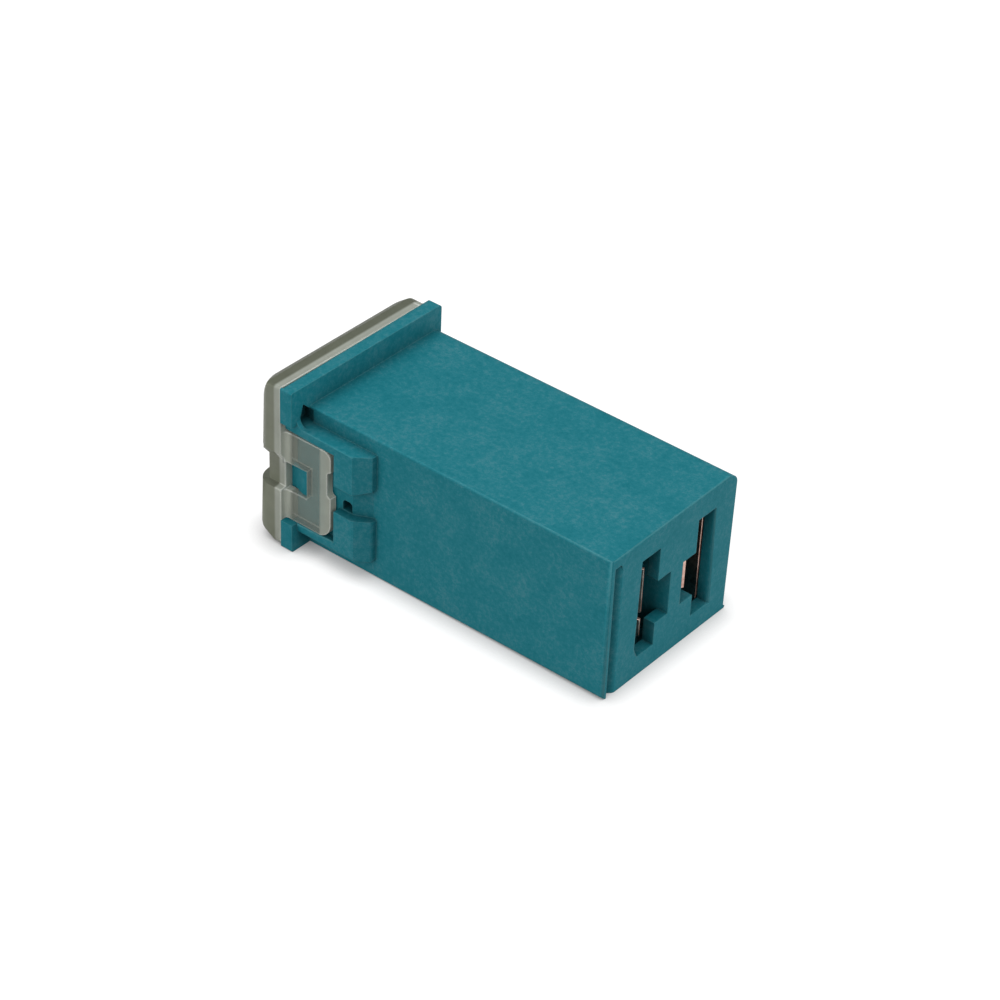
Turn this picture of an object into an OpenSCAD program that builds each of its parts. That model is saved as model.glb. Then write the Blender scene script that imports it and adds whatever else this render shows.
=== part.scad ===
// Female cartridge fuse link, lying on its side.
// The housing is one moulding: a box with two T-shaped sockets in its end, a flange round its
// mouth and a raised latch block on one side. A clear cover clips over the mouth. Inside, one
// strip of sheet metal is folded into two spring sockets with the narrow fuse link between them,
// and a tin pill is riveted into the middle of the link.
// X runs along the fuse towards the sockets, Y across it, Z up. The working origin is where
// the flange's front face meets the near side and the underside of the body.

/* [Housing] */
// Length of the body, from the flange's front face to the socket end
body_len = 27.2; // [24:0.1:33]
// Width of the body, across the two sockets
body_w = 14.3; // [13.6:0.1:18]
// Thickness of the body
body_h = 12; // [11.2:0.1:15]
// Thickness of the wall that the T-shaped openings are cut through
end_wall = 0.95; // [0.6:0.05:1.4]
// Thickness of the walls above and below the sockets
shell_wall = 1.2; // [0.9:0.05:1.45]
// Thickness of the side walls round the mouth
mouth_wall = 1.3; // [1.05:0.05:1.55]
// Depth of the wide mouth that the fuse link stands in, from the flange's front face
mouth_depth = 4.5; // [3:0.1:6]
// Rounding of the upper far edge of the body
far_edge_r = 0.95; // [0.3:0.05:1.2]
// Rounding of the lower near edge of the body
low_edge_r = 0.6; // [0.2:0.05:0.8]
// Angle by which that rounding runs out towards the flange
low_edge_run = 0.33; // [0:0.01:0.5]
// Rounding of the two other long edges of the body
edge_r = 0.15; // [0.1:0.05:0.3]
// Rounding of the near upright edge of the socket end
end_edge_r = 0.3; // [0.1:0.05:0.4]

/* [Groove in the socket end] */
// Thickness of the lip between the groove and the near side
lip_t = 0.5; // [0.4:0.05:0.6]
// Width of the groove
lip_groove_w = 0.8; // [0.5:0.05:1.2]
// Depth of the groove
lip_groove_d = 0.4; // [0.2:0.05:0.6]
// Height of the top face above the closed end of the groove
lip_groove_stop = 0.85; // [0.5:0.05:1.5]

/* [Flange] */
// Thickness of the flange
flange_t = 1.1; // [0.8:0.05:1.5]
// How far the flange stands above the top face
flange_rise = 1.9; // [1.2:0.05:2.6]
// How far the flange stands out from the near side
flange_side = 1.92; // [1.65:0.01:2.6]
// Rounding of the flange's upper far corner
flange_corner_r = 0.3; // [0.1:0.05:1.3]
// Height of the gap between the block's ledge and the flange's side above it
hem_gap = 0.2; // [0.05:0.05:0.5]
// Radius of the web between the flange and the block's ledge
web_r = 0.7; // [0.3:0.05:0.9]
// Thickness of that web
web_t = 0.4; // [0.2:0.05:0.5]
// Depth of the pocket that a mould core leaves in the corner beside the web
core_pocket_d = 0.8; // [0.2:0.1:0.9]

/* [Sockets] */
// Width of each blade slot
slot_w = 2.05; // [1.6:0.05:2.5]
// Height of each blade slot
slot_h = 8.4; // [7:0.1:8.9]
// Distance between the middles of the two blade slots
slot_pitch = 6.4; // [5.3:0.05:7]
// How far the sockets are moved from the middle of the body towards the far side
slot_shift = 0.65; // [0:0.05:0.8]
// How far the blade slots are moved below the middle of the body
slot_drop = 0.1; // [0:0.05:0.15]
// Thickness of the wall between the two sockets
partition_t = 1.4; // [0.8:0.05:1.8]
// Height of the key opening that makes each slot a T
key_h = 3.7; // [2.5:0.1:4.6]
// How far the key openings are moved below the middle of the slots
key_drop = 0.45; // [0:0.05:0.6]

/* [Fuse element] */
// Thickness of the sheet metal
sheet_t = 0.26; // [0.2:0.02:0.4]
// Space left between the sheet metal and the housing
sheet_gap = 0.05; // [0.02:0.01:0.1]
// Length of the contact plate in each socket
plate_len = 12.5; // [10:0.1:14.5]
// Gap that the spring leaves for the blade before it is pushed open
contact_gap = 0.45; // [0.3:0.05:0.6]
// Distance from the spring's tip to its contact line
lead_in_len = 2.6; // [1.8:0.1:3.2]
// Distance of the spring's tip from the outer edge of the blade slot
tip_offset = 1.78; // [1.5:0.02:2]
// Width of the wide spring finger
wide_finger_w = 3.8; // [3:0.1:4.2]
// Width of the narrow spring finger
narrow_finger_w = 1.5; // [1:0.1:1.8]
// Width of the slit between the fingers
slit_w = 0.6; // [0.4:0.05:0.8]
// Height of the wide finger's top above the middle of the element
finger_top = 2.25; // [2:0.05:2.4]
// How far the element lies below the middle of the slots
element_drop = 0.15; // [0:0.05:0.2]
// Width of the leg that joins the contact plate to the fuse link
leg_w = 2; // [1.4:0.1:2.2]
// Width of the narrow fuse link
link_w = 1.05; // [0.7:0.05:1.3]
// Radius of the eye in the middle of the link
eye_r = 1.25; // [1.1:0.05:1.5]
// Radius of the hole that the tin pill is riveted into
pill_hole_r = 0.55; // [0.4:0.05:0.7]
// Radius of the tin pill's heads
pill_r = 0.95; // [0.8:0.05:1.1]
// Height of each head of the tin pill
pill_head = 0.3; // [0.2:0.05:0.45]

/* [Cover] */
// Thickness of the clear cover's walls
cover_wall = 0.9; // [0.7:0.05:1.1]
// Length of the cover behind the flange
cover_len = 2.55; // [2.4:0.05:3.4]
// Length of the cover's straight band
cover_land = 1.3; // [0.6:0.05:1.6]
// Radius of the cover's rounded upper edges
cover_round = 1.7; // [1.4:0.05:2.2]
// Radius of the cover's rounded lower edges
cover_low_round = 1.2; // [1:0.05:2]
// Rounding of the band's corners
cover_corner_r = 0.25; // [0.1:0.05:0.5]
// Rounding of the band's upper far corner
cover_far_corner_r = 1.35; // [0.4:0.05:1.8]
// Rounding of the band's lower near corner
cover_low_corner_r = 0.6; // [0.1:0.05:0.9]
// Length of the straight band at that corner
cover_low_land = 0.8; // [0.3:0.05:1.6]
// Depth of the two ribs that plug into the housing's mouth
rib_depth = 0.8; // [0.4:0.1:1]
// Thickness of the ribs
rib_t = 0.5; // [0.4:0.05:0.6]
// Space between the ribs and the mouth
rib_gap = 0.1; // [0.05:0.01:0.15]

/* [Latch] */
// Height of the latch block's top above the underside of the body
block_top = 10.75; // [9.6:0.05:11]
// Height of the latch block's foot above the underside of the body
block_foot = 1.6; // [1:0.05:2]
// How far the block stands out from the near side
block_out = 1.38; // [1.1:0.02:1.6]
// Length of the block from the flange's front face
block_len = 6.45; // [5.4:0.05:8]
// Length of the sloped end of the block
ramp_len = 1.15; // [0.8:0.05:1.6]
// Height of the step at the end of the slope
ramp_step = 0.52; // [0.3:0.02:0.9]
// Thickness of the cover's latch tab
tab_t = 0.62; // [0.5:0.02:0.75]
// Height of the tab's lower edge above the underside of the body
tab_foot = 2.45; // [2.4:0.05:3]
// Width of the latch tab
tab_w = 7.55; // [6:0.05:7.6]
// Length of the tab in front of the flange
tab_len = 3.25; // [2.6:0.05:3.9]
// Rounding of the tab's lower corner
tab_corner_r = 1.25; // [0.4:0.05:1.3]
// Rounding of the tab's upper corner
tab_top_corner_r = 0.65; // [0.4:0.05:1.3]
// Radius of the inner rounding where the near tab meets the band
tab_root_r = 0.3; // [0.1:0.05:0.5]
// Depth of the shallow notch in the tab's end
tab_notch_d = 0.33; // [0.2:0.01:0.5]
// Width of the shallow notch in the tab's end
tab_notch_w = 1.6; // [1:0.1:2.2]
// Space between the tab and the pocket that it lies in
tab_gap = 0.08; // [0.05:0.01:0.12]
// Space between the tab's end and the end of its pocket
tab_end_gap = 0.3; // [0.2:0.05:0.5]
// Height of the window's lower edge above the underside of the body
window_foot = 4.95; // [4.6:0.05:5.4]
// Width of the window in the tab
window_w = 2.4; // [1.8:0.05:2.8]
// Distance from the flange's front face to the window's edge that the lug catches
window_end = 0.93; // [0.6:0.01:1.2]
// Space between the lug and the window
lug_gap = 0.12; // [0.05:0.01:0.25]
// How far the lug's crest lies below the tab's outer face
lug_low = 0.22; // [0:0.01:0.3]
// Width of the groove between the two pads of the block
pad_groove_w = 2.24; // [1.6:0.01:2.6]
// Length of the groove's slope, down from the level of the tab's pocket to the near side
pad_groove_slope = 1.4; // [0.6:0.05:2]
// How far the groove opens upwards along the block's sloped end
pad_groove_flare = 0.4; // [0.05:0.05:0.6]
// Width and height of the recess that a mould pin leaves in the groove
pin_size = 0.9; // [0.5:0.05:1]
// Depth of that recess
pin_depth = 1.2; // [0.4:0.1:1.4]
// Depth of the channel across the cover's band, which leads to the window
channel_d = 0.55; // [0.5:0.05:1]
// Width of the channel's floor
channel_w = 2.25; // [1:0.05:2.4]
// Width of its sloping upper side
channel_side_w = 0.85; // [0.4:0.05:1.2]
// Width of its steeper lower side
channel_low_side_w = 0.1; // [0.05:0.05:1.2]
// How far the channel lies above the middle of the window
channel_rise = 0.1; // [0:0.05:0.5]
// Distance from the cover's rear face to where the channel turns round the rear edge
channel_bend = 0.95; // [0.6:0.05:1.4]
// Angle by which the channel turns there
channel_turn = 52; // [35:1:60]
// Thickness of the cover behind the channel
channel_wall = 0.7; // [0.5:0.05:1]

/* [Hidden] */
$fn = 48;
sliver = 0.01;

// Places along X
flange_back = -flange_t;
cover_back = flange_back - cover_len;
least_r = 0.2;
plate_front = body_len - end_wall - 2 * sheet_gap;
plate_back = plate_front - plate_len;
chamber_front = body_len - end_wall;

// Outline of the flange and of the cover's band, across the fuse
rim_y = -flange_side;
rim_w = body_w + flange_side;
rim_h = body_h + flange_rise;

// Sockets, across the fuse
mid_y = body_w / 2 + slot_shift;
mid_z = body_h / 2 - slot_drop;
slot_in = slot_pitch / 2 - slot_w / 2;
slot_out = slot_pitch / 2 + slot_w / 2;
chamber_h = body_h - 2 * shell_wall;
chamber_out = slot_out + sheet_t;
mouth_w = body_w - 2 * mouth_wall;
mouth_r = 0.4;

// Fuse element, measured outwards from the middle plane between the sockets and up from its middle
element_z = mid_z - element_drop;
off_middle = body_h / 2 - element_z;
plate_y = chamber_out - sheet_gap - sheet_t / 2;
plate_w = chamber_h - 2 * sheet_gap - 2 * off_middle;
contact_y = plate_y - sheet_t - contact_gap;
tip_y = slot_out - tip_offset;
spring_y = partition_t / 2 + sheet_gap + sheet_t * 1.5;
hairpin_r = (plate_y - spring_y) / 2 - least_r / 2;
leg_top = chamber_h / 2 - rib_gap - rib_t - 2 * sheet_gap - off_middle;
leg_foot = leg_top - leg_w;
leg_bend_r = 0.6;
leg_reach = plate_y - 1.5;
link_x = flange_back - 0.75;
pill_dome_r = pill_r * 1.6;

// Latch
tab_y = -block_out;
tab_in = tab_y + tab_t;
far_tab_y = body_w;
lug_crest = tab_y + lug_low;
tab_root = 0.6;
window_mid_z = window_foot + window_w / 2;
pad_groove_rise = 0.14;
pin_r = 0.3;
pocket_floor = tab_in + tab_gap;
pocket_end = tab_len + tab_end_gap;
groove_foot = window_mid_z - pad_groove_w / 2 + pad_groove_rise;

// The origin lies under the middle of the whole fuse
origin = [(cover_back + body_len) / 2, rim_y + rim_w / 2, 0];

// ---- General shapes ----

// What a rounding of radius r takes off the corner of a square at its origin
module corner_cut(r) {
    if (r > 0) difference() {
        translate([-sliver, -sliver]) square(r + sliver);
        translate([r, r]) circle(r);
    }
}

// A w by h rectangle with its corner roundings in the order: low left, low right, high right, high left
module rounded_rect(w, h, r) {
    difference() {
        square([w, h]);
        corner_cut(r[0]);
        translate([w, 0]) rotate(90) corner_cut(r[1]);
        translate([w, h]) rotate(180) corner_cut(r[2]);
        translate([0, h]) rotate(270) corner_cut(r[3]);
    }
}

// Extrudes a shape drawn in (Y, Z) along X, from x0 to x1
module along_x(x0, x1) {
    translate([x0, 0, 0]) rotate([90, 0, 90]) linear_extrude(x1 - x0) children();
}

// Extrudes a shape drawn in (X, Z) along Y, from y0 to y1
module along_y(y0, y1) {
    translate([0, y1, 0]) rotate([90, 0, 0]) linear_extrude(y1 - y0) children();
}

function direction(a, b) = (b - a) / norm(b - a);
function heading(a, b) = atan2(b.y - a.y, b.x - a.x);
function left_of(angle) = [-sin(angle), cos(angle)];

// One side of a bend at point b, with the sheet's middle line on radius r and the side off to its left
function bend_side(a, b, c, r, off) =
    let (
        u = direction(a, b),
        v = direction(b, c),
        side = sign(cross(u, v)),
        angle = acos(max(-1, min(1, u * v))),
        centre = b + (v - u) / norm(v - u) * r / cos(angle / 2),
        steps = max(3, ceil(angle / 9))
    )
    [for (k = [0:steps]) centre + (off - side * r) * left_of(heading(a, b) + side * angle * k / steps)];

// One side of a bent strip, from the start of its path to the end
function strip_side(path, radii, off) =
    let (last = len(path) - 1)
    [
        path[0] + off * left_of(heading(path[0], path[1])),
        for (i = [1:last - 1]) each bend_side(path[i - 1], path[i], path[i + 1], radii[i], off),
        path[last] + off * left_of(heading(path[last - 1], path[last]))
    ];

// A bent strip of thickness t along the points of a path, with a bend radius at each inner point
module bent_strip(path, radii, t) {
    back = strip_side(path, radii, -t / 2);
    polygon(concat(strip_side(path, radii, t / 2), [for (i = [len(back) - 1:-1:0]) back[i]]));
}

// ---- Housing ----

// Outline of the body across the fuse
module body_outline() {
    rounded_rect(body_w, body_h, [0, edge_r, far_edge_r, edge_r]);
}

// The body, with its near upright edge at the socket end and its lower near edge rounded
module body() {
    difference() {
        along_x(flange_back, body_len) body_outline();
        translate([body_len, 0, -1]) rotate(90) linear_extrude(body_h + 2) corner_cut(end_edge_r);
        translate([body_len, 0, 0]) rotate([0, -low_edge_run, low_edge_run])
            along_x(-body_len, 1) corner_cut(low_edge_r);
    }
}

// Outline of the flange across the fuse
module flange_outline() {
    translate([rim_y, 0])
        rounded_rect(rim_w, rim_h, [edge_r, edge_r, flange_corner_r, edge_r]);
}

// The T-shaped opening for one blade, drawn outwards from the middle plane
module socket_outline() {
    translate([slot_in, -slot_h / 2]) square([slot_w, slot_h]);
    translate([partition_t / 2, -key_h / 2 - key_drop])
        square([slot_in - partition_t / 2 + sliver, key_h]);
}

// Both halves of what is drawn outwards from the middle plane between the sockets
module both_sides() {
    translate([mid_y, mid_z]) {
        children();
        mirror([1, 0]) children();
    }
}

// Room for the terminals, the fuse link and the blades
module housing_cavity() {
    along_x(mouth_depth - sliver, chamber_front) both_sides()
        translate([partition_t / 2, body_h / 2 - mid_z - chamber_h / 2])
            square([chamber_out - partition_t / 2, chamber_h]);
    along_x(chamber_front - sliver, body_len + sliver) both_sides() socket_outline();
    along_x(flange_back - sliver, mouth_depth)
        translate([mouth_wall, shell_wall])
            rounded_rect(mouth_w, chamber_h, [mouth_r, mouth_r, mouth_r, mouth_r]);
}

// Profile of the latch block, seen from above, with its sloped end
module block_profile() {
    polygon([
        [-sliver, sliver],
        [-sliver, -block_out],
        [block_len - ramp_len, -block_out],
        [block_len, -ramp_step],
        [block_len, sliver]
    ]);
}

// The raised block: two pads with a groove between them and a pocket for the tab
module latch_block() {
    slope_end = block_len - ramp_step / 2;
    ramp_start = block_len - ramp_len;
    groove_top = groove_foot + pad_groove_w;
    difference() {
        translate([0, 0, block_foot]) linear_extrude(block_top - block_foot) block_profile();
        translate([0, 0, groove_foot]) linear_extrude(pad_groove_w) polygon([
            [pocket_end - sliver, -block_out - 1],
            [pocket_end - sliver, pocket_floor],
            [slope_end - pad_groove_slope, pocket_floor],
            [slope_end, 0],
            [block_len + 1, 0],
            [block_len + 1, -block_out - 1]
        ]);
        along_y(-block_out - 1, 0) polygon([
            [ramp_start, groove_top - sliver],
            [block_len + 1, groove_top - sliver],
            [block_len + 1, groove_top + pad_groove_flare * (1 + 1 / ramp_len)]
        ]);
    }
}

// The recess of a mould pin, in the groove between the pads
module pin_recess() {
    foot_gap = 0.04;
    along_y(-block_out, pocket_floor + pin_depth)
        translate([pocket_end + pin_r, groove_foot + foot_gap])
            rounded_rect(pin_size, pin_size - foot_gap, [0, 0, pin_r, pin_r]);
}

// The pocket that the near tab lies in, and the room round the tab under the flange's side
module near_pocket() {
    foot = tab_foot - tab_gap;
    hem = block_top + hem_gap;
    translate([flange_back - sliver, rim_y - 1, foot])
        cube([flange_t + pocket_end + sliver, pocket_floor - rim_y + 1, tab_w + 2 * tab_gap]);
    translate([flange_back - sliver, rim_y - 1, foot])
        cube([flange_t + 2 * sliver, 1 - rim_y - block_out, hem - foot]);
}

// The web between the flange's front face and the outer side of the ledge
module ledge_web() {
    along_y(-block_out, web_t - block_out) translate([-sliver, block_top - sliver])
        corner_cut(web_r + sliver);
}

// The pocket of a mould core, in the corner between the flange, the ledge and the near side
module core_pocket() {
    into_side = 0.35;
    peak = 1.7;
    along_x(-core_pocket_d, into_side) polygon([
        [into_side, block_top],
        [web_t - block_out, block_top],
        [web_t - block_out, block_top + web_r],
        [-block_out / 2, block_top + peak],
        [into_side, block_top + web_r]
    ]);
}

// The pocket in the far side, where the second tab lies flush
module far_pocket() {
    translate([flange_back - sliver, far_tab_y - tab_t - tab_gap, tab_foot - tab_gap])
        cube([flange_t + pocket_end + sliver, tab_t + 1, tab_w + 2 * tab_gap]);
}

// A lug that catches in the tab's window, drawn outwards from the tab's inner face
module lug(rise) {
    crest_len = 0.45;
    catch_x = window_end - lug_gap;
    translate([0, 0, window_foot + lug_gap]) linear_extrude(window_w - 2 * lug_gap) polygon([
        [flange_back + lug_gap, tab_gap + sliver],
        [catch_x - crest_len, -rise],
        [catch_x, -rise],
        [catch_x, tab_gap + sliver]
    ]);
}

// The groove beside the near edge of the socket end, with its far side sloping
module lip_groove() {
    floor_x = body_len - lip_groove_d;
    translate([0, 0, -1]) linear_extrude(body_h - lip_groove_stop + 1) polygon([
        [floor_x, lip_t],
        [body_len + 1, lip_t],
        [body_len + 1, lip_t + lip_groove_w],
        [body_len, lip_t + lip_groove_w],
        [floor_x, lip_t + lip_groove_w / 2]
    ]);
}

module housing() {
    color([0.13, 0.47, 0.51]) place() {
        difference() {
            union() {
                body();
                along_x(flange_back, 0) flange_outline();
                latch_block();
                ledge_web();
            }
            housing_cavity();
            pin_recess();
            near_pocket();
            core_pocket();
            far_pocket();
            lip_groove();
        }
        translate([0, tab_in, 0]) lug(tab_in - lug_crest);
        translate([0, far_tab_y - tab_t, 0]) mirror([0, 1, 0]) lug(tab_t - lug_low);
    }
}

// ---- Cover ----

// The cover's outer form, or its inside when it is inset by the wall and, on the near side, by near
module cover_form(inset, near) {
    back = cover_back + inset;
    open = inset > 0 ? sliver : 0;
    hull() for (j = [0, 1], k = [0, 1]) {
        y = j == 0 ? rim_y + near : rim_y + rim_w - inset;
        z = k == 0 ? inset : rim_h - inset;
        low_near = j == 0 && k == 0;
        plain_r = low_near ? cover_low_corner_r : cover_corner_r;
        band_r = j == 1 && k == 1 ? max(least_r, cover_far_corner_r - inset) : plain_r;
        land = low_near ? cover_low_land : cover_land;
        back_r = max(least_r, (k == 0 ? cover_low_round : cover_round) - inset);
        inwards = [j == 0 ? 1 : -1, k == 0 ? 1 : -1];
        translate([flange_back - land, y + inwards.x * band_r, z + inwards.y * band_r])
            rotate([0, 90, 0]) cylinder(h = land + open, r = band_r, $fn = 32);
        translate([back + back_r, y + inwards.x * back_r, z + inwards.y * back_r])
            rotate([0, -90, 0]) rotate_extrude($fn = 32) intersection() {
                circle(back_r);
                square(back_r);
            }
    }
}

// Outline of a latch tab in (X, Z), with its rounded corners, the notch in its end and its root
module tab_outline() {
    total = tab_root + flange_t + tab_len;
    notch_z = tab_w * 0.63;
    translate([flange_back - tab_root, tab_foot]) difference() {
        rounded_rect(total, tab_w, [0, tab_corner_r, tab_top_corner_r, 0]);
        translate([total - tab_notch_d, notch_z - tab_notch_w / 2])
            square([tab_notch_d + sliver, tab_notch_w]);
        for (side = [-1, 1])
            translate([total, notch_z + side * tab_notch_w / 2]) circle(tab_notch_d);
    }
}

// Plan of the near tab, with the inner rounding where it meets the step down from the band
module near_tab_plan() {
    centre = [flange_back + tab_root_r, tab_y - tab_root_r];
    steps = 6;
    polygon([
        [flange_back - tab_root, tab_in],
        [flange_back - tab_root, centre.y],
        for (k = [0:steps]) let (angle = 180 - 90 * k / steps) centre + tab_root_r * [cos(angle), sin(angle)],
        [tab_len, tab_y],
        [tab_len, tab_in]
    ]);
}

// The channel's section, open outwards, with its floor at Y = 0
module channel_section() {
    outside = 2;
    spread = outside / channel_d;
    polygon([
        [0, -channel_w / 2],
        [0, channel_w / 2],
        [-outside, channel_w / 2 + channel_side_w * spread],
        [-outside, -channel_w / 2 - channel_low_side_w * spread]
    ]);
}

// The channel across the band's near side and on round the rear edge
module channel() {
    bend_x = cover_back + channel_bend;
    translate([bend_x, rim_y + channel_d, window_mid_z + channel_rise]) {
        along_x(-channel_bend, flange_back - bend_x) channel_section();
        rotate(-channel_turn) along_x(-3 * channel_bend, 0) channel_section();
    }
}

// The two ribs that plug into the mouth above and below the legs, run down from the cover's rear wall
module plug_ribs() {
    first_z = shell_wall + rib_gap;
    for (z = [first_z, body_h - first_z - rib_t])
        translate([cover_back + cover_wall / 2, mouth_wall + mouth_r, z])
            cube([cover_len - cover_wall / 2 + rib_depth, mouth_w - 2 * mouth_r, rib_t]);
}

module cover() {
    window_len = window_end - flange_back;
    color([0.72, 0.73, 0.68, 0.55]) place() {
        difference() {
            union() {
                cover_form(0, 0);
                intersection() {
                    along_y(rim_y, tab_in) tab_outline();
                    linear_extrude(rim_h) near_tab_plan();
                }
                along_y(far_tab_y - tab_t, far_tab_y) tab_outline();
            }
            cover_form(cover_wall, channel_d + channel_wall);
            channel();
            translate([flange_back, rim_y - sliver, window_foot])
                cube([window_len, tab_in - rim_y + 2 * sliver, window_w]);
            translate([flange_back, far_tab_y - tab_t - sliver, window_foot])
                cube([window_len, tab_t + 2 * sliver, window_w]);
        }
        plug_ribs();
    }
}

// ---- Fuse element ----

// Turns a half of the element into its place on the near side
module near_half() {
    translate([0, mid_y, element_z]) mirror([0, 1, 0]) children();
}

// The contact plate, the leg and the spring of one socket, drawn outwards from the middle plane
module terminal() {
    finger_foot = finger_top - wide_finger_w;
    narrow_foot = finger_foot - slit_w - narrow_finger_w;
    contact_x = plate_front - lead_in_len;
    // Contact plate against the outer wall
    translate([plate_back + hairpin_r, plate_y - sheet_t / 2, -plate_w / 2])
        cube([plate_len - hairpin_r, sheet_t, plate_w]);
    // Hairpin and spring fingers
    translate([0, 0, narrow_foot]) difference() {
        linear_extrude(finger_top - narrow_foot) bent_strip(
            [[plate_back + hairpin_r + sliver, plate_y], [plate_back, plate_y], [plate_back, spring_y],
                [plate_back + 2.5 * hairpin_r, spring_y], [contact_x, contact_y], [plate_front, tip_y]],
            [0, hairpin_r, hairpin_r, 3, 1.2, 0], sheet_t);
        translate([plate_back + 3 * hairpin_r, -sliver, narrow_finger_w])
            cube([plate_len, plate_y - sheet_t, slit_w]);
    }
    // Leg to the fuse link
    translate([0, 0, leg_foot]) linear_extrude(leg_w) bent_strip(
        [[plate_back + hairpin_r + sliver, plate_y], [link_x, plate_y], [link_x, leg_reach]],
        [0, leg_bend_r, 0], sheet_t);
}

// The narrow link: an S from one leg to the other, with an eye in its middle
module fuse_link() {
    leg_z = leg_foot + leg_w / 2;
    turn_y = leg_reach / 2;
    path = [[-leg_reach - sliver, leg_z], [-turn_y, leg_z], [-turn_y, 0], [turn_y, 0],
        [turn_y, -leg_z], [leg_reach + sliver, -leg_z]];
    along_x(link_x - sheet_t / 2, link_x + sheet_t / 2) translate([mid_y, element_z]) difference() {
        union() {
            bent_strip(path, [0, 0.9, 0.9, 0.9, 0.9, 0], link_w);
            circle(eye_r);
        }
        circle(pill_hole_r);
    }
}

module fuse_element() {
    color([0.78, 0.52, 0.42]) place() {
        near_half() terminal();
        translate([0, mid_y, element_z]) rotate([180, 0, 0]) mirror([0, 1, 0]) terminal();
        fuse_link();
    }
}

// ---- Tin pill ----

// A two-headed rivet through the eye of the link
module tin_pill() {
    half = sheet_t / 2;
    color([0.74, 0.74, 0.76]) place()
        translate([link_x, mid_y, element_z]) rotate([0, 90, 0]) {
            cylinder(h = sheet_t, r = pill_hole_r, center = true);
            for (side = [0, 1]) mirror([0, 0, side]) translate([0, 0, half])
                rotate_extrude() intersection() {
                    translate([0, pill_head - pill_dome_r]) circle(pill_dome_r);
                    square([pill_r, pill_head]);
                }
        }
}

// Moves a piece from the working origin to the fuse's own origin
module place() {
    translate(-origin) children();
}

housing();
cover();
fuse_element();
tin_pill();
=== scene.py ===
# %% [markdown]
# # A female fuse link, lying on its side
# The CAD frame brings the four pieces of the fuse at their real size, in metres: the teal housing,
# the clear cover, the folded sheet-metal element and the tin pill. This notebook makes a copy of
# each piece, rounds the copy's edges and gives it its finish.

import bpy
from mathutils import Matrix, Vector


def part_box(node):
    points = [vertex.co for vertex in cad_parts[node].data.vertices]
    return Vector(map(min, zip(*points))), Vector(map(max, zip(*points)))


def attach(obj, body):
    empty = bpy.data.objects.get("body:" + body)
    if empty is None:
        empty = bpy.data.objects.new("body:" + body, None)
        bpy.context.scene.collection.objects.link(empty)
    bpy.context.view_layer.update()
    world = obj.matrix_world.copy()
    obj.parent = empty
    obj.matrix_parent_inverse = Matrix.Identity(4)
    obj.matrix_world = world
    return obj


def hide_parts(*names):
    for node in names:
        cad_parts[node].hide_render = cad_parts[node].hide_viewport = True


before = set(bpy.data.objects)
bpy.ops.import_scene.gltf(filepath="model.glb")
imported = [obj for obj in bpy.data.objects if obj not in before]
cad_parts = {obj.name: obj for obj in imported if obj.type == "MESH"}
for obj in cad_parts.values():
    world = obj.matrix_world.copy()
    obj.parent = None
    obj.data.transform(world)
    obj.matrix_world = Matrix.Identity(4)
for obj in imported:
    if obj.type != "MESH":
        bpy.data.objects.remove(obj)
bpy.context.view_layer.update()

import math

import bmesh
import bpy
from mathutils import Matrix, Vector

mm = 0.001

# %% [markdown]
# ## The camera
# A long lens, held well away from a small product, keeps its parallel edges nearly parallel. The
# camera stands to the right of the socket end and above it, and it leans over by a few degrees,
# which makes the upright edges lean in the view. Its rotation could be given as Euler angles, but
# three directions are easier to reason about: towards the camera, to its right, and up.

# %% Camera
camera_turn = math.radians(38.13)
camera_height = math.radians(36.0)
camera_lean = math.radians(2.72)
camera_distance = 209.75 * mm
aim = Vector((0.127, 0.978, 5.768)) * mm

towards_camera = Vector((
    math.sin(camera_turn) * math.cos(camera_height),
    -math.cos(camera_turn) * math.cos(camera_height),
    math.sin(camera_height),
))
level_right = Vector((math.cos(camera_turn), math.sin(camera_turn), 0))
level_up = towards_camera.cross(level_right)
right = level_right * math.cos(camera_lean) + level_up * math.sin(camera_lean)
up = level_up * math.cos(camera_lean) - level_right * math.sin(camera_lean)

camera = bpy.data.objects.new("camera", bpy.data.cameras.new("camera"))
bpy.context.scene.collection.objects.link(camera)
camera.matrix_world = Matrix.Translation(aim + towards_camera * camera_distance) @ Matrix((
    (right.x, up.x, towards_camera.x, 0),
    (right.y, up.y, towards_camera.y, 0),
    (right.z, up.z, towards_camera.z, 0),
    (0, 0, 0, 1),
))
camera.data.sensor_width = 36
camera.data.lens = 105.3
camera.data.clip_start = 0.01
camera.data.clip_end = 10
bpy.context.scene.camera = camera
print("camera at", camera.matrix_world.translation)

# %% [markdown]
# ## Node helpers
# A material is a small network of nodes. Each helper below adds one kind of node and takes, for
# each of its inputs, a number, a colour or another node's output. So a material further down reads
# as a list of what it is made of, and not as a list of links.

# %% Node helpers
def new_material(name):
    """A new material and its main shader."""
    material = bpy.data.materials.new(name)
    material.use_nodes = True
    return material, material.node_tree.nodes["Principled BSDF"]


def feed(material, socket, value):
    """Links another node's output to a socket, or sets the socket to a plain value."""
    if isinstance(value, bpy.types.NodeSocket):
        material.node_tree.links.new(value, socket)
    else:
        socket.default_value = value


def add_node(material, kind, **values):
    """A new node. A value named like an input feeds it, and any other value is a setting."""
    node = material.node_tree.nodes.new(kind)
    for key, value in values.items():
        if key in node.inputs:
            feed(material, node.inputs[key], value)
        else:
            setattr(node, key, value)
    return node


def calculate(material, operation, *values, **settings):
    """The result of one operation on two or three values."""
    node = add_node(material, "ShaderNodeMath", operation=operation, **settings)
    for socket, value in zip(node.inputs, values):
        feed(material, socket, value)
    return node.outputs[0]


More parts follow.
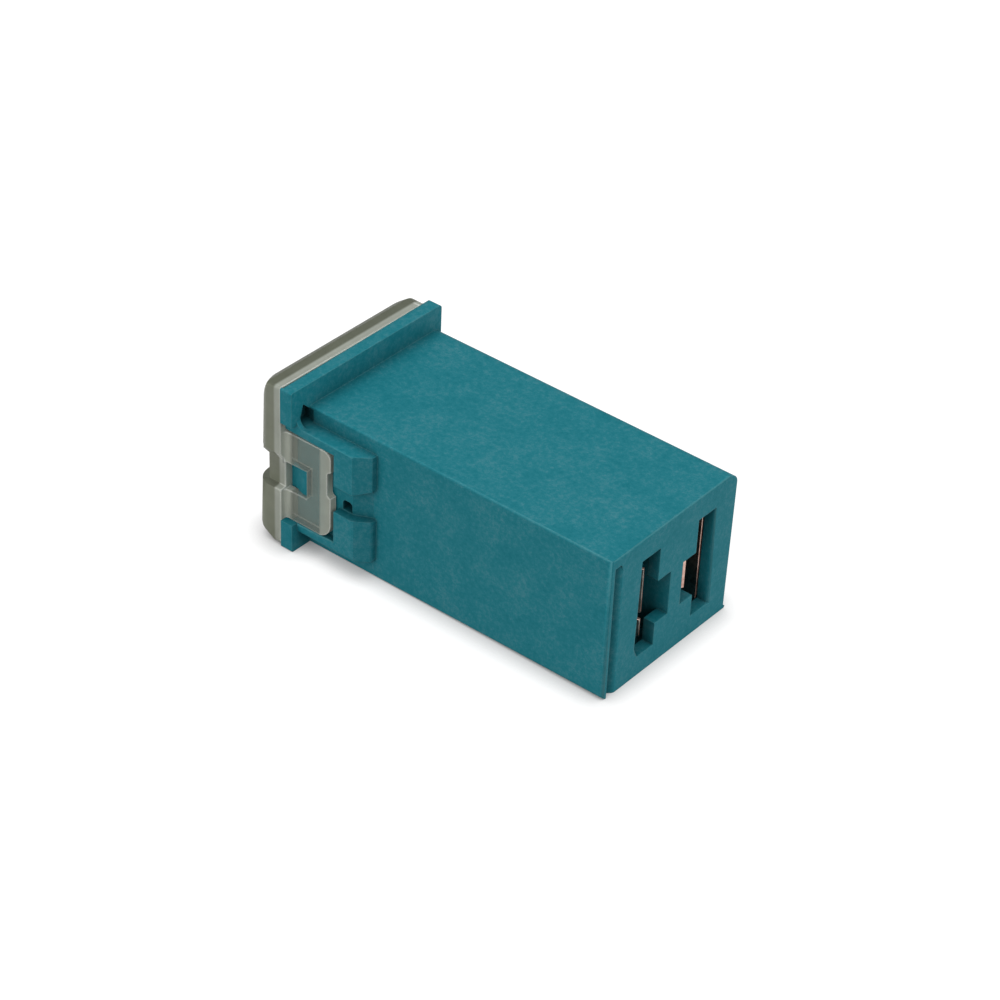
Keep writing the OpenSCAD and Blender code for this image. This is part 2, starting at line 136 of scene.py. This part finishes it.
def mix_colors(material, share, first, second, blend_type="MIX"):
    """The first colour, with a share of the second one mixed in."""
    node = add_node(material, "ShaderNodeMix", data_type="RGBA", blend_type=blend_type)
    feed(material, node.inputs["Factor"], share)
    feed(material, node.inputs["A"], first)
    feed(material, node.inputs["B"], second)
    return node.outputs["Result"]


def mix_values(material, share, first, second):
    """The first value, with a share of the second one mixed in."""
    node = add_node(material, "ShaderNodeMix", data_type="FLOAT")
    feed(material, node.inputs[0], share)
    feed(material, node.inputs[2], first)
    feed(material, node.inputs[3], second)
    return node.outputs[0]


def split(material, vector):
    """The three parts of a vector, by the letters X, Y and Z."""
    return add_node(material, "ShaderNodeSeparateXYZ", Vector=vector).outputs


def from_srgb(red, green, blue):
    """The linear colour, as nodes want it, of an sRGB colour from 0 to 255."""
    linear = []
    for c in (red, green, blue):
        linear.append(((c / 255 + 0.055) / 1.055) ** 2.4 if c > 10 else c / 255 / 12.92)
    return (*linear, 1)


print("sRGB mid grey in linear light:", from_srgb(128, 128, 128))

# %% [markdown]
# ## The floor
# A pale floor carries the soft contact shadow. More light would make it white, but would also
# bleach the fuse. So it has a light of its own, which only the camera and mirror-like or clear
# surfaces see. Ambient Occlusion dims that light where something stands close over the floor, which
# paints the thin dark line of contact as a painted shadow.

# %% Floor
floor_reach = 1.5
floor_glow = 0.8
contact_reach = 2.0 * mm

floor_mesh = bpy.data.meshes.new("floor")
floor_form = bmesh.new()
bmesh.ops.create_grid(floor_form, x_segments=1, y_segments=1, size=floor_reach)
floor_form.to_mesh(floor_mesh)
floor_form.free()
floor = bpy.data.objects.new("floor", floor_mesh)
bpy.context.scene.collection.objects.link(floor)

floor_white, floor_shader = new_material("floor_white")
floor_mesh.materials.append(floor_white)
ray = add_node(floor_white, "ShaderNodeLightPath").outputs
seen_or_mirrored = calculate(floor_white, "MAXIMUM", ray["Is Camera Ray"], ray["Is Glossy Ray"])
seen = calculate(floor_white, "MAXIMUM", seen_or_mirrored, ray["Is Transmission Ray"])
# Painted contact shadow: the floor's own light fades where the fuse stands close over it.
close_over = add_node(floor_white, "ShaderNodeAmbientOcclusion", samples=8, Distance=contact_reach)
open_floor = calculate(floor_white, "MULTIPLY", close_over.outputs["AO"], seen)
glow = calculate(floor_white, "MULTIPLY", open_floor, floor_glow)
floor_shader.inputs["Base Color"].default_value = (0.35, 0.35, 0.35, 1)
floor_shader.inputs["Roughness"].default_value = 0.9
floor_shader.inputs["Specular IOR Level"].default_value = 0.1
floor_shader.inputs["Emission Color"].default_value = (1, 1, 1, 1)
feed(floor_white, floor_shader.inputs["Emission Strength"], glow)
print("floor material has", len(floor_white.node_tree.nodes), "nodes")

# %% [markdown]
# ## World and lamps
# Small bright lamps would give hard shadows. Three broad ones, over half a metre away, wrap round
# the fuse as in a light tent: one above, one on the near side and one at the socket end. An even
# white world fills in what they leave. All are kept at a plain level, at which a colour renders
# about as it was written.

# %% World and lamps
world = bpy.data.worlds.new("studio")
bpy.context.scene.world = world
world.use_nodes = True
world.node_tree.nodes["Background"].inputs["Color"].default_value = (1, 1, 1, 1)
world.node_tree.nodes["Background"].inputs["Strength"].default_value = 0.33


def add_lamp(name, place, size, power):
    """A square lamp at a place in metres, facing the fuse."""
    light = bpy.data.lights.new(name, "AREA")
    light.shape = "SQUARE"
    light.size = size
    light.energy = power
    lamp = bpy.data.objects.new(name, light)
    lamp.location = place
    lamp.rotation_mode = "QUATERNION"
    lamp.rotation_quaternion = (aim - lamp.location).to_track_quat("-Z", "Y")
    bpy.context.scene.collection.objects.link(lamp)
    print(name, "at", place, "with", power, "W")


add_lamp("top_lamp", Vector((0, 0, 0.60)), size=0.6, power=1.8)
add_lamp("near_lamp", Vector((0, -0.60, 0.30)), size=0.5, power=1.7)
add_lamp("end_lamp", Vector((0.62, 0, 0.30)), size=0.5, power=1.6)

# %% [markdown]
# ## Masks
# A mask is a value from 0 to 1 that says where on a piece a finish goes. It could be painted, but
# a mask made of nodes needs no picture and stays sharp at any size. The first two below follow any
# value, such as the place along a piece. The third one finds edges: the Bevel node turns the normal
# near an edge, so how far it is turned from the true normal says how close the edge is. Where the
# two are hardly apart, the face counts as flat. The last helper isn't a mask: it adds a fine bump.

# %% Masks
hardly_turned = 0.995


def ramped(material, value, start, end):
    """A value turned into a smooth rise from 0 at start to 1 at end."""
    rise = add_node(material, "ShaderNodeMapRange", interpolation_type="SMOOTHSTEP", Value=value)
    rise.inputs["From Min"].default_value = start
    rise.inputs["From Max"].default_value = end
    return rise.outputs["Result"]


def stepped(material, value, before, stops):
    """A number before the first stop, which glides to each stop's own from its start to its end."""
    level = before
    for start, end, number in stops:
        level = mix_values(material, ramped(material, value, start, end), level, number)
    return level


def near_edge(material, radius, full_turn):
    """A value that is 0 on flat faces and rises to 1 at an edge."""
    turned = add_node(material, "ShaderNodeBevel", samples=6, Radius=radius)
    plain = add_node(material, "ShaderNodeNewGeometry")
    alike = add_node(material, "ShaderNodeVectorMath", operation="DOT_PRODUCT")
    feed(material, alike.inputs[0], turned.outputs["Normal"])
    feed(material, alike.inputs[1], plain.outputs["True Normal"])
    mask = add_node(material, "ShaderNodeMapRange", Value=alike.outputs["Value"])
    mask.inputs["From Min"].default_value = hardly_turned
    mask.inputs["From Max"].default_value = 1 - full_turn
    return mask.outputs["Result"]


def add_grain(material, shader, height, strength, distance, edge_radius):
    """A fine bump for a shader, on top of normals that are softened at the edges."""
    soft = add_node(material, "ShaderNodeBevel", samples=6, Radius=edge_radius)
    grain = add_node(material, "ShaderNodeBump", Strength=strength, Distance=distance,
                     Height=height, Normal=soft.outputs["Normal"])
    feed(material, shader.inputs["Normal"], grain.outputs["Normal"])


print("masks: ramped, stepped, near_edge")

# %% [markdown]
# ## The teal plastic
# The housing is moulded from a teal engineering plastic. Pigment never spreads quite evenly, so the
# colour wanders: a fine noise makes the mottle, a coarser one the soft patches, and a ramp turns
# the two into three close tones. The noises read Object coordinates in metres, so a scale of 2400
# gives spots of about 0.4 mm.

# %% Teal plastic
deep_teal = from_srgb(8, 109, 121)
middle_teal = from_srgb(30, 119, 131)
pale_teal = from_srgb(64, 130, 141)
patch_share = 0.26

teal, teal_shader = new_material("teal_plastic")
teal_place = add_node(teal, "ShaderNodeTexCoord").outputs
mottle = add_node(teal, "ShaderNodeTexNoise", Vector=teal_place["Object"],
                  Scale=2400.0, Detail=5.0, Roughness=0.85)
patches = add_node(teal, "ShaderNodeTexNoise", Vector=teal_place["Object"], Scale=450.0, Detail=2.0)
uneven = mix_values(teal, patch_share, mottle.outputs["Fac"], patches.outputs["Fac"])
teal_ramp = add_node(teal, "ShaderNodeValToRGB", Fac=uneven)
teal_ramp.color_ramp.elements[0].position = 0.34
teal_ramp.color_ramp.elements[0].color = deep_teal
teal_ramp.color_ramp.elements[1].position = 0.66
teal_ramp.color_ramp.elements[1].color = pale_teal
teal_ramp.color_ramp.elements.new(0.5).color = middle_teal
print("teal tones:", [tuple(round(c, 3) for c in stop.color) for stop in teal_ramp.color_ramp.elements])

# %% [markdown]
# Three masks paint light and shade into that colour. The edges are painted a little paler, a
# highlight where a rounded edge would catch the light. The slots and pockets get painted shade,
# darker than plain shading makes them, and Ambient Occlusion, told to look at this piece only,
# finds them. The sloped run-outs of the near side's latch pads are painted darker. They face
# partly along the fuse and partly outwards, so the product of those two parts of their normal is
# well below zero, which it is on no straight face.

# %% Painted edge highlights and hollow shade of the teal plastic
# Painted highlight: a paler teal on the edges, where rounded edges would catch the light.
edge_highlight_teal = from_srgb(96, 158, 164)
edge_width = 0.12 * mm
edge_turn = 0.2
edge_highlight_strength = 0.4
hollow_reach = 4.0 * mm
hollow_to_open = (0.1, 0.92)
# Painted shade in the slots and pockets, and a slight painted light on the open faces.
hollow_painted_shade = (0.35, 0.33, 0.33, 1)
open_painted_light = (1.03, 1.03, 1.03, 1)
# The sloped run-outs are painted darker, picked out by the way they face.
slanted_to_straight = (-0.4, -0.25)
run_out_darkening, plain_tone = 0.7, 1.0

# The paler edge teal mixed in here is a painted highlight.
edge_highlight_share = calculate(teal, "MULTIPLY", near_edge(teal, edge_width, edge_turn), edge_highlight_strength)
highlighted_teal = mix_colors(teal, edge_highlight_share, teal_ramp.outputs["Color"], edge_highlight_teal)
openness = add_node(teal, "ShaderNodeAmbientOcclusion", samples=8, only_local=True,
                    Distance=hollow_reach)
open_share = ramped(teal, openness.outputs["AO"], *hollow_to_open)
teal_facing = split(teal, teal_place["Normal"])
slanted = calculate(teal, "MULTIPLY", teal_facing["X"], teal_facing["Y"])
slant_darkening = stepped(teal, slanted, run_out_darkening, [(*slanted_to_straight, plain_tone)])
# The tone below multiplies painted shade into the teal, in the hollows and on the run-outs.
tone_share = calculate(teal, "MULTIPLY", open_share, slant_darkening)
tone = mix_colors(teal, tone_share, hollow_painted_shade, open_painted_light)
shaded_teal = mix_colors(teal, 1.0, highlighted_teal, tone, blend_type="MULTIPLY")
feed(teal, teal_shader.inputs["Base Color"], shaded_teal)
print("teal plastic has", len(teal.node_tree.nodes), "nodes")

# %% [markdown]
# The surface is satin: rough enough to spread every highlight, with a weak reflection, as a mould
# with a fine spark-eroded face leaves it. The mottle's own noise serves as the height of the grain,
# so the tiny pits and the tones belong together.

# %% Surface of the teal plastic
teal_shader.inputs["Roughness"].default_value = 0.6
teal_shader.inputs["Specular IOR Level"].default_value = 0.14
add_grain(teal, teal_shader, mottle.outputs["Fac"], strength=0.12, distance=0.02 * mm,
          edge_radius=edge_width)
print("edges of the teal plastic are softened over", round(edge_width / mm, 2), "mm")

# %% [markdown]
# ## Copies of the CAD pieces
# The CAD forms are right, but their edges are sharp, and a CAD mesh is made of loose triangles. It
# could be left as it is and only given a finish. Instead each piece is a copy of the CAD mesh, with
# its triangles joined into whole flat faces, because a Bevel modifier needs such clean edges to
# work on. The copy then takes the CAD piece's place.

# %% Copies of the CAD pieces
same_point = 0.002 * mm
same_plane = math.radians(1)


def merged_copy(node, name):
    """A copy of a CAD node's mesh with its loose triangles joined into whole flat faces."""
    form = bmesh.new()
    form.from_mesh(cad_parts[node].data)
    triangles = len(form.faces)
    bmesh.ops.remove_doubles(form, verts=form.verts, dist=same_point)
    bmesh.ops.dissolve_limit(form, angle_limit=same_plane, verts=form.verts, edges=form.edges)
    print(name, "has", len(form.faces), "faces, made of", triangles, "triangles")
    mesh = bpy.data.meshes.new(name)
    form.to_mesh(mesh)
    form.free()
    piece = bpy.data.objects.new(name, mesh)
    bpy.context.scene.collection.objects.link(piece)
    return piece


def stand_for(piece, node):
    """Puts a piece in a CAD node's place: it rides on the one body, and the CAD node is hidden."""
    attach(piece, "root")
    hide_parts(node)


print("CAD pieces:", *sorted(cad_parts))

# %% [markdown]
# ## Rounded edges
# No mould leaves an edge quite sharp, and it is the rounded edges that catch the light. A Bevel
# modifier with a limit by angle would round the tiny edges of the pockets too, and run over them.
# So this one reads a weight on each edge. Only long, outward edges get one, and where a face beside
# an edge is narrow, its weight is smaller. How wide a face is beside an edge shows at the edge's
# ends, in the neighbours that turn away from it. One that hardly does only runs on along it.

# %% Rounded edges
far_away = 1.0
turning_away = 0.3


def room_beside(edge):
    """How far the faces on both sides of an edge reach away from it at its ends."""
    room = far_away
    along = (edge.verts[1].co - edge.verts[0].co).normalized()
    for face in edge.link_faces:
        for vert in edge.verts:
            for other in set(vert.link_edges) & set(face.edges) - {edge}:
                away = along.cross(other.other_vert(vert).co - vert.co).length
                if away > turning_away * other.calc_length():
                    room = min(room, away)
    return room


def round_edges(piece, width, segments, least_length, share=0.3, least_angle=25, least_height=-1):
    """Rounds the long outward edges above a height, each as far as the room beside it allows."""
    form = bmesh.new()
    form.from_mesh(piece.data)
    weight = form.edges.layers.float.new("bevel_weight_edge")
    rounded = 0
    for edge in form.edges:
        higher = max(vert.co.z for vert in edge.verts) > least_height
        if edge.is_convex and higher and edge.calc_length() > least_length:
            if edge.calc_face_angle() > math.radians(least_angle):
                room = room_beside(edge)
                if room > width:
                    edge[weight] = min(1, share * room / width)
                    rounded += 1
    form.to_mesh(piece.data)
    form.free()
    bevel = piece.modifiers.new("rounded_edges", "BEVEL")
    bevel.width = width
    bevel.segments = segments
    bevel.limit_method = "WEIGHT"
    bevel.use_clamp_overlap = False
    print(piece.name, "has", rounded, "rounded edges")


print("an edge turns away from its neighbour at", turning_away, "of its own length")

# %% [markdown]
# ## The housing
# The housing is one moulding: the body with its two slots, the flange, the raised latch block on the
# near side and the pocket for the tab on the far side. Its long edges are rounded to a quarter of a
# millimetre. The ones that rest on the floor stay sharp, since a bevel there would bulge below the
# underside. The shading stays flat, because smooth shading would smear the light of the rounded
# edges over the large faces.

# %% Housing
housing = merged_copy("housing", "housing_moulding")
round_edges(housing, width=0.25 * mm, segments=3, least_length=3 * mm, least_height=0.5 * mm)
housing.data.materials.append(teal)
stand_for(housing, "housing")

# %% [markdown]
# ## Where the clear cover is dark, light or see-through
# The cover is a thin moulding of clear plastic, a little smoky. Its walls hardly bend the light, so
# a glass shader isn't needed: a satin skin is mixed with a see-through shader. How much skin there
# is depends on the place along the cover. The rounded closed end is nearly solid and painted dark:
# painted shade, in place of the light that its thick curve would bend away. The band beside the
# flange is painted lighter, and the middle of the tab is clear enough for the teal to show, with a
# lighter, more solid tip and painted highlights on its edges. The flat of the closed end is clearer
# too, because people look through it to see whether the fuse has blown.

# %% Masks along the cover
cap_skin, band_skin, tab_skin, tip_skin = 0.9, 0.8, 0.27, 0.75
# How light the smoke is along the cover: dark on the cap, painted light on the band, lighter on the
# tip.
cap_light, band_light, tip_light = 0.0, 0.8, 0.75
flat_end_skin, other_skin = 0.55, 1.0
flat_to_other = (-0.98, -0.9)
rim_width = 0.2 * mm
rim_turn = 0.13

clear, clear_shader = new_material("clear_plastic")
clear_place = add_node(clear, "ShaderNodeTexCoord").outputs
along_cover = split(clear, clear_place["Object"])["X"]
clear_facing = split(clear, clear_place["Normal"])
closed_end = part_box("cover")[0][0]
tab_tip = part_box("cover")[1][0]
band_start = (closed_end + 1.85 * mm, closed_end + 2.1 * mm)
tab_start = (closed_end + 2.9 * mm, closed_end + 3.3 * mm)
tip_start = (tab_tip - 1.15 * mm, tab_tip - 0.85 * mm)
skin_along = stepped(clear, along_cover, cap_skin, [
    (*band_start, band_skin), (*tab_start, tab_skin), (*tip_start, tip_skin)])
painted_light_along = stepped(clear, along_cover, cap_light, [
    (*band_start, band_light), (*tip_start, tip_light)])
# Painted highlights along the cover's edges, as strong as the painted light there.
rim_highlights = calculate(clear, "MULTIPLY", near_edge(clear, rim_width, rim_turn), painted_light_along)
flat_end = stepped(clear, clear_facing["X"], flat_end_skin, [(*flat_to_other, other_skin)])
skin = calculate(clear, "MULTIPLY", skin_along, flat_end)
print("cover from", round(closed_end / mm, 2), "to", round(tab_tip / mm, 2), "mm along the fuse")

# %% [markdown]
# The smoke is the plastic's own tint, with painted shade and light on it: a dark tone at the
# closed end, painted darker still where it faces up, and a light tone elsewhere. A flow noise makes
# it denser and thinner, as plastic looks that was pressed into a narrow gap. The painted rim
# highlights come last, so that nothing darkens them.

# %% Smoke, painted shade and painted rim highlights of the clear plastic
side_smoke = from_srgb(126, 130, 113)
# Painted shade: the top of the cover is darker than its sides.
top_shade_smoke = from_srgb(100, 104, 89)
light_smoke = from_srgb(184, 189, 178)
rim_highlight_tone = from_srgb(218, 221, 214)
side_to_top = (0.3, 0.9)
thinnest, densest = 0.8, 1.2

flow = add_node(clear, "ShaderNodeTexNoise", Vector=clear_place["Object"],
                Scale=500.0, Detail=4.0, Roughness=0.6)
flow_tone = add_node(clear, "ShaderNodeMapRange", Value=flow.outputs["Fac"])
flow_tone.inputs["To Min"].default_value = thinnest
flow_tone.inputs["To Max"].default_value = densest
facing_up = ramped(clear, clear_facing["Z"], *side_to_top)
shaded_smoke = mix_colors(clear, facing_up, side_smoke, top_shade_smoke)
smoke = mix_colors(clear, painted_light_along, shaded_smoke, light_smoke)
flowing = add_node(clear, "ShaderNodeVectorMath", operation="SCALE")
feed(clear, flowing.inputs[0], smoke)
feed(clear, flowing.inputs["Scale"], flow_tone.outputs["Result"])
# The painted rim highlights go on top of the smoke.
rimmed = mix_colors(clear, rim_highlights, flowing.outputs["Vector"], rim_highlight_tone)
feed(clear, clear_shader.inputs["Base Color"], rimmed)
print("clear plastic has", len(clear.node_tree.nodes), "nodes so far")

# %% [markdown]
# The skin is satin, with a faint ripple. It is mixed with the see-through shader by the mask from
# above, plus a little more skin where the painted rim highlights are, where one looks along the wall
# and not across it.

# %% Thin wall of the clear plastic
rim_skin = 0.35

clear_shader.inputs["Roughness"].default_value = 0.42
clear_shader.inputs["Specular IOR Level"].default_value = 0.12
add_grain(clear, clear_shader, flow.outputs["Fac"], strength=0.1, distance=0.02 * mm,
          edge_radius=0.1 * mm)
see_through = add_node(clear, "ShaderNodeBsdfTransparent", Color=(0.98, 1.0, 0.99, 1))
all_skin = calculate(clear, "MULTIPLY_ADD", rim_highlights, rim_skin, skin, use_clamp=True)
thin_wall = add_node(clear, "ShaderNodeMixShader")
feed(clear, thin_wall.inputs[0], all_skin)
feed(clear, thin_wall.inputs[1], see_through.outputs["BSDF"])
feed(clear, thin_wall.inputs[2], clear_shader.outputs["BSDF"])
clear_output = clear.node_tree.nodes["Material Output"]
feed(clear, clear_output.inputs["Surface"], thin_wall.outputs["Shader"])
print("clear plastic has", len(clear.node_tree.nodes), "nodes")

# %% [markdown]
# ## The cover
# The cover is one moulding too: a cap with rounded sides, a skirt inside the flange, and a tab with
# a window on each side. The CAD cap is faceted, so it is shaded smooth, but with a sharp line
# wherever two faces meet at a real angle. Its edges are fine, and so is their rounding.

# %% Cover
def smooth_between(piece, sharp_angle=35):
    """Smooth shading, with a sharp line wherever two faces meet at more than the angle."""
    piece.data.shade_smooth()
    piece.data.set_sharp_from_angle(angle=math.radians(sharp_angle))


cover = merged_copy("cover", "clear_cover")
smooth_between(cover)
cover.data.materials.append(clear)
round_edges(cover, width=0.06 * mm, segments=2, least_length=0.5 * mm, share=0.4)
stand_for(cover, "cover")

# %% [markdown]
# ## The metals
# The element is cut from copper alloy sheet that is plated with tin, and then folded. So its faces
# are tin, and only its cut edges show bare copper. The pill is a drop of plain tin. The three
# finishes are one kind of metal in three colours, with fine streaks and a darker stain between
# them, since no rolled or cast metal is one even mirror.

# %% Metals
def add_metal(name, color, stain, roughness, metallic=1.0):
    """A metal with fine streaks, and a stain colour between them."""
    metal, shader = new_material(name)
    where = add_node(metal, "ShaderNodeTexCoord").outputs["Object"]
    streaks = add_node(metal, "ShaderNodeTexNoise", Vector=where,
                       Scale=900.0, Detail=4.0, Roughness=0.7)
    tones = add_node(metal, "ShaderNodeValToRGB", Fac=streaks.outputs["Fac"])
    tones.color_ramp.elements[0].position = 0.35
    tones.color_ramp.elements[0].color = stain
    tones.color_ramp.elements[1].position = 0.6
    tones.color_ramp.elements[1].color = color
    wear = add_node(metal, "ShaderNodeBump", Height=streaks.outputs["Fac"],
                    Strength=0.15, Distance=0.01 * mm)
    feed(metal, shader.inputs["Base Color"], tones.outputs["Color"])
    feed(metal, shader.inputs["Normal"], wear.outputs["Normal"])
    shader.inputs["Metallic"].default_value = metallic
    shader.inputs["Roughness"].default_value = roughness
    print(name, "has", len(metal.node_tree.nodes), "nodes")
    return metal


plated = add_metal("tin_plated_sheet", color=from_srgb(150, 148, 142), stain=from_srgb(96, 92, 86),
                   roughness=0.38)
copper = add_metal("cut_copper_edge", color=from_srgb(232, 194, 180), stain=from_srgb(190, 140, 122),
                   roughness=0.35, metallic=0.6)
tin = add_metal("dull_tin", color=from_srgb(168, 168, 170), stain=from_srgb(120, 120, 124),
                roughness=0.5)

# %% [markdown]
# ## The element
# The strip stands on its edge in the housing, so every face that looks up or down is a cut edge.
# So are the sides of the narrow link, and the front ends of the plates and fingers, in the slots.
# The mesh could be cut in two pieces, one for each metal, but a face can also name its own
# material, which keeps the strip whole.

# %% Element
up_or_down = 0.7
along_fuse = 0.5
tip_length = 0.2 * mm

element = merged_copy("fuse_element", "folded_element")
element.data.materials.append(plated)
element.data.materials.append(copper)
link_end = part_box("tin_pill")[1][0]
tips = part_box("fuse_element")[1][0] - tip_length
cut_faces = 0
for face in element.data.polygons:
    cut = abs(face.normal.z) > up_or_down or face.center.x > tips
    cut_in_link = face.center.x < link_end and abs(face.normal.x) < along_fuse
    face.material_index = 1 if cut or cut_in_link else 0
    cut_faces += face.material_index
print("copper shows on", cut_faces, "of", len(element.data.polygons), "faces")
smooth_between(element)
round_edges(element, width=0.03 * mm, segments=1, least_length=0.05 * mm)
stand_for(element, "fuse_element")

# %% [markdown]
# ## The pill
# The pill is a drop of tin, pressed through the eye of the link like a rivet. When the strip gets
# warm it melts first and eats into the copper, which makes the fuse slow. It is small and round, so
# smooth shading and a fine rounding are all that it needs.

# %% Pill
pill = merged_copy("tin_pill", "tin_pill_rivet")
pill.data.materials.append(tin)
smooth_between(pill)
round_edges(pill, width=0.04 * mm, segments=2, least_length=0.02 * mm)
stand_for(pill, "tin_pill")

# %% [markdown]
# ## Finish
# The Standard view transform shows the colours as they were written, where a filmic one would
# soften them.

# %% Finish
bpy.context.scene.view_settings.view_transform = "Standard"
